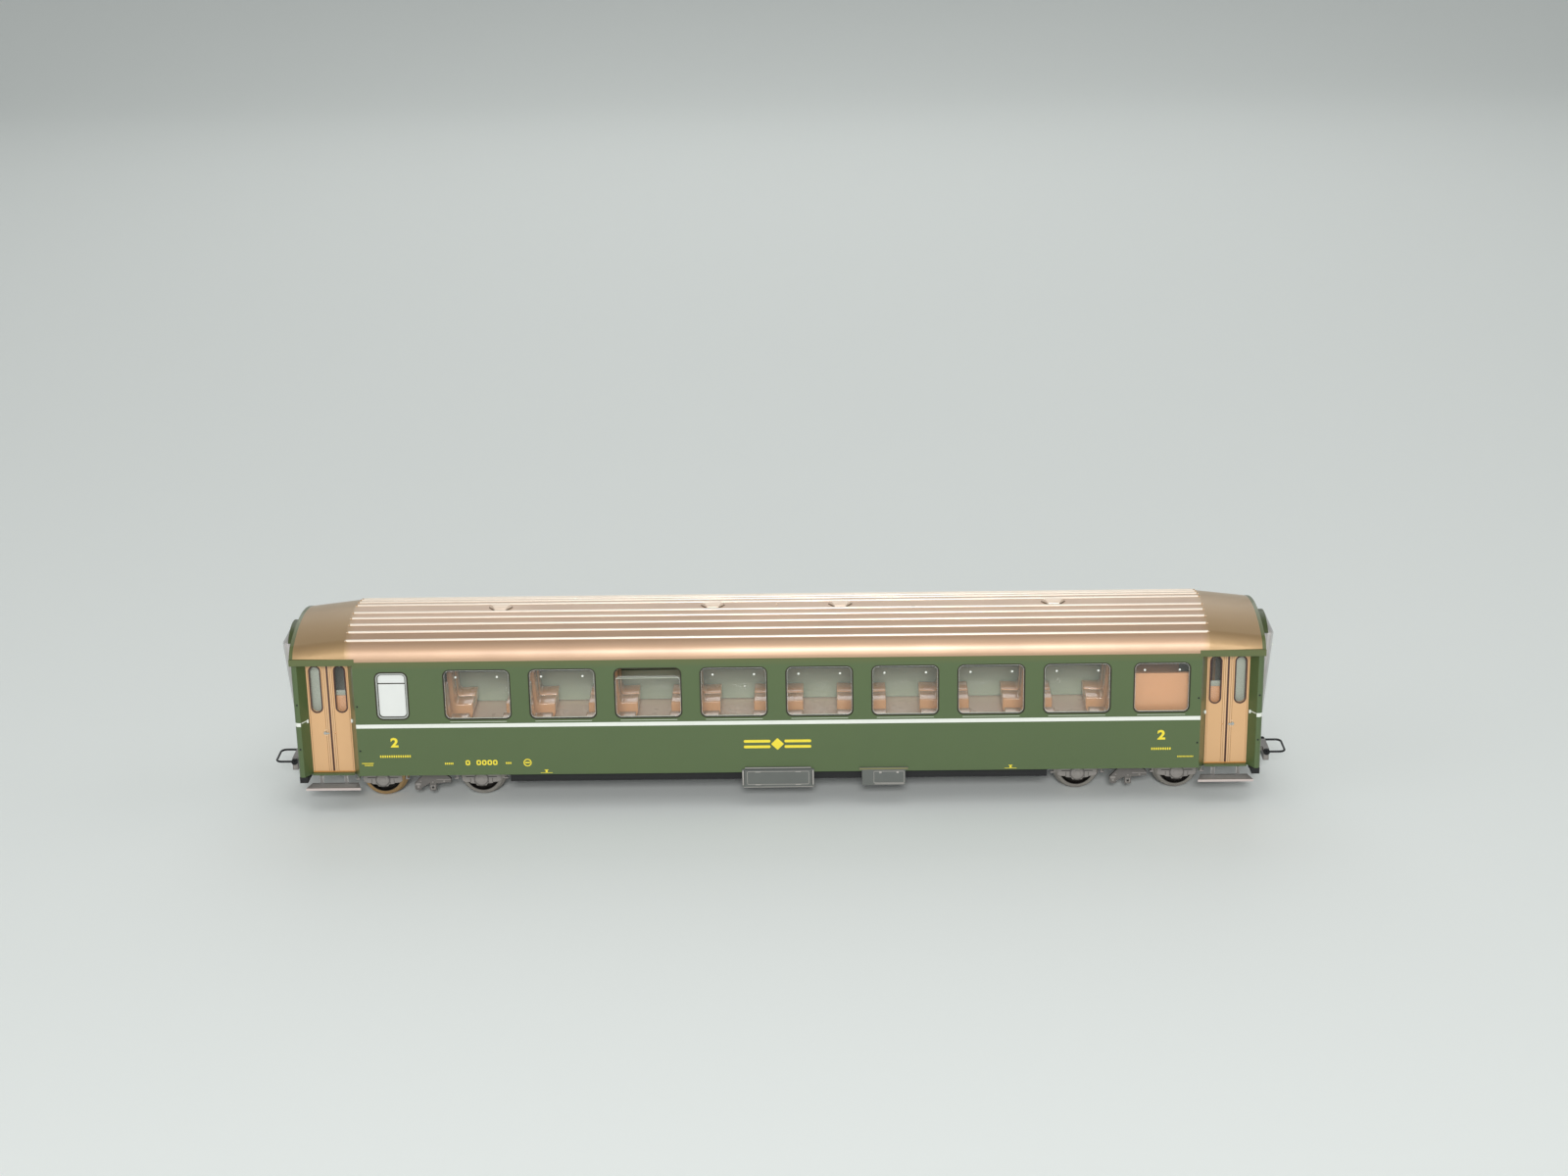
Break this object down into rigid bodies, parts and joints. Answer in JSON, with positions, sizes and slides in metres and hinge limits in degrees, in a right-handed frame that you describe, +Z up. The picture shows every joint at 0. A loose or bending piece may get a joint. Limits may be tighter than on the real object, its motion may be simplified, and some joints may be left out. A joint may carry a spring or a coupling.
{
  "type": "model passenger coach",
  "caption": "Narrow gauge model passenger coach with ribbed roof, tan interior, recessed doors, swivelling bogies and loop couplers.",
  "frame": {"origin": "on the surface that the wheel flanges stand on, under the middle of the coach", "axes": "+X along the coach, away from the toilet end; +Y across it; +Z up"},
  "size_m": [0.2166, 0.0318, 0.0408],
  "materials": {
    "body_green": "satin olive green paint on moulded polystyrene",
    "roof_silver": "metallic bronze silver paint",
    "clear_glazing": "clear moulded polystyrene",
    "toilet_white": "opaque white print behind clear plastic",
    "window_silver": "silver paint",
    "door_tan": "tan moulded plastic",
    "floor_black": "matte black moulded plastic",
    "ballast_steel": "rolled steel plate",
    "screw_steel": "turned steel",
    "underfloor_grey": "dark grey moulded plastic",
    "interior_tan": "orange tan moulded plastic",
    "gangway_grey": "light grey moulded plastic",
    "step_grey": "grey moulded plastic",
    "bogie_grey": "dark grey moulded plastic",
    "bearing_brass": "turned brass",
    "coupler_grey": "dark grey moulded plastic",
    "loop_wire": "blackened steel wire",
    "axle_steel": "turned steel",
    "wheel_nickel": "nickel plated, dulled",
    "bush_black": "black insulating plastic"
  },
  "bodies": {
    "coach": {"body_shell": "body_green", "roof_shell": "roof_silver", "roof_vents": "roof_silver", "glazing_front": "clear_glazing", "glazing_back": "clear_glazing", "door_panes": "clear_glazing", "toilet_panes": "toilet_white", "toilet_window_frames": "window_silver", "door_handles": "door_tan", "floor_pan": "floor_black", "ballast_plate": "ballast_steel", "pivot_screws": "screw_steel", "drawbar_screws": "screw_steel", "battery_boxes": "underfloor_grey", "equipment_boxes": "underfloor_grey", "interior_floor": "interior_tan", "seats": "interior_tan", "partitions": "interior_tan", "end_panels": "interior_tan", "toilet_cubicle": "interior_tan", "doors_1_front": "door_tan", "doors_1_back": "door_tan", "gangway_bellows_1": "gangway_grey", "gangway_frame_1": "gangway_grey", "gangway_hood_1": "body_green", "end_door_1": "body_green", "steps_1": "step_grey", "doors_2_front": "door_tan", "doors_2_back": "door_tan", "gangway_bellows_2": "gangway_grey", "gangway_frame_2": "gangway_grey", "gangway_hood_2": "body_green", "end_door_2": "body_green", "steps_2": "step_grey"},
    "bogie_1": {"bogie_frame_1": "bogie_grey", "bearing_cups_1": "bearing_brass", "brake_gear_1": "bogie_grey"},
    "coupler_1": {"drawbar_1": "coupler_grey", "loop_pin_1": "loop_wire"},
    "coupler_loop_1": {"loop_1": "loop_wire"},
    "bogie_2": {"bogie_frame_2": "bogie_grey", "bearing_cups_2": "bearing_brass", "brake_gear_2": "bogie_grey"},
    "coupler_2": {"drawbar_2": "coupler_grey", "loop_pin_2": "loop_wire"},
    "coupler_loop_2": {"loop_2": "loop_wire"},
    "wheelset_1": {"axle_1": "axle_steel", "wheel_bushes_1": "bush_black", "wheels_1": "wheel_nickel"},
    "wheelset_2": {"axle_2": "axle_steel", "wheel_bushes_2": "bush_black", "wheels_2": "wheel_nickel"},
    "wheelset_3": {"axle_3": "axle_steel", "wheel_bushes_3": "bush_black", "wheels_3": "wheel_nickel"},
    "wheelset_4": {"axle_4": "axle_steel", "wheel_bushes_4": "bush_black", "wheels_4": "wheel_nickel"}
  },
  "joints": [
    {"name": "bogie_1_swivel", "type": "hinge", "parent": "coach", "child": "bogie_1", "pos_m": [-0.0737, 0, 0.0072], "axis": [0, 0, 1], "range_deg": [-12, 12]},
    {"name": "coupler_1_swing", "type": "hinge", "parent": "coach", "child": "coupler_1", "pos_m": [-0.0935, 0, 0.0066], "axis": [0, 0, 1], "range_deg": [-12, 12]},
    {"name": "coupler_loop_1_lift", "type": "hinge", "parent": "coupler_1", "child": "coupler_loop_1", "pos_m": [-0.1041, 0, 0.00675], "axis": [0, 1, 0], "range_deg": [0, 35]},
    {"name": "bogie_2_swivel", "type": "hinge", "parent": "coach", "child": "bogie_2", "pos_m": [0.0737, 0, 0.0072], "axis": [0, 0, 1], "range_deg": [-12, 12]},
    {"name": "coupler_2_swing", "type": "hinge", "parent": "coach", "child": "coupler_2", "pos_m": [0.0935, 0, 0.0066], "axis": [0, 0, 1], "range_deg": [-12, 12]},
    {"name": "coupler_loop_2_lift", "type": "hinge", "parent": "coupler_2", "child": "coupler_loop_2", "pos_m": [0.1041, 0, 0.00675], "axis": [0, -1, 0], "range_deg": [0, 35]},
    {"name": "wheelset_1_spin", "type": "hinge", "parent": "bogie_1", "child": "wheelset_1", "pos_m": [-0.0842, 0, 0.00505], "axis": [0, 1, 0], "continuous": true},
    {"name": "wheelset_2_spin", "type": "hinge", "parent": "bogie_1", "child": "wheelset_2", "pos_m": [-0.0632, 0, 0.00505], "axis": [0, 1, 0], "continuous": true},
    {"name": "wheelset_3_spin", "type": "hinge", "parent": "bogie_2", "child": "wheelset_3", "pos_m": [0.0632, 0, 0.00505], "axis": [0, 1, 0], "continuous": true},
    {"name": "wheelset_4_spin", "type": "hinge", "parent": "bogie_2", "child": "wheelset_4", "pos_m": [0.0842, 0, 0.00505], "axis": [0, 1, 0], "continuous": true}
  ]
}
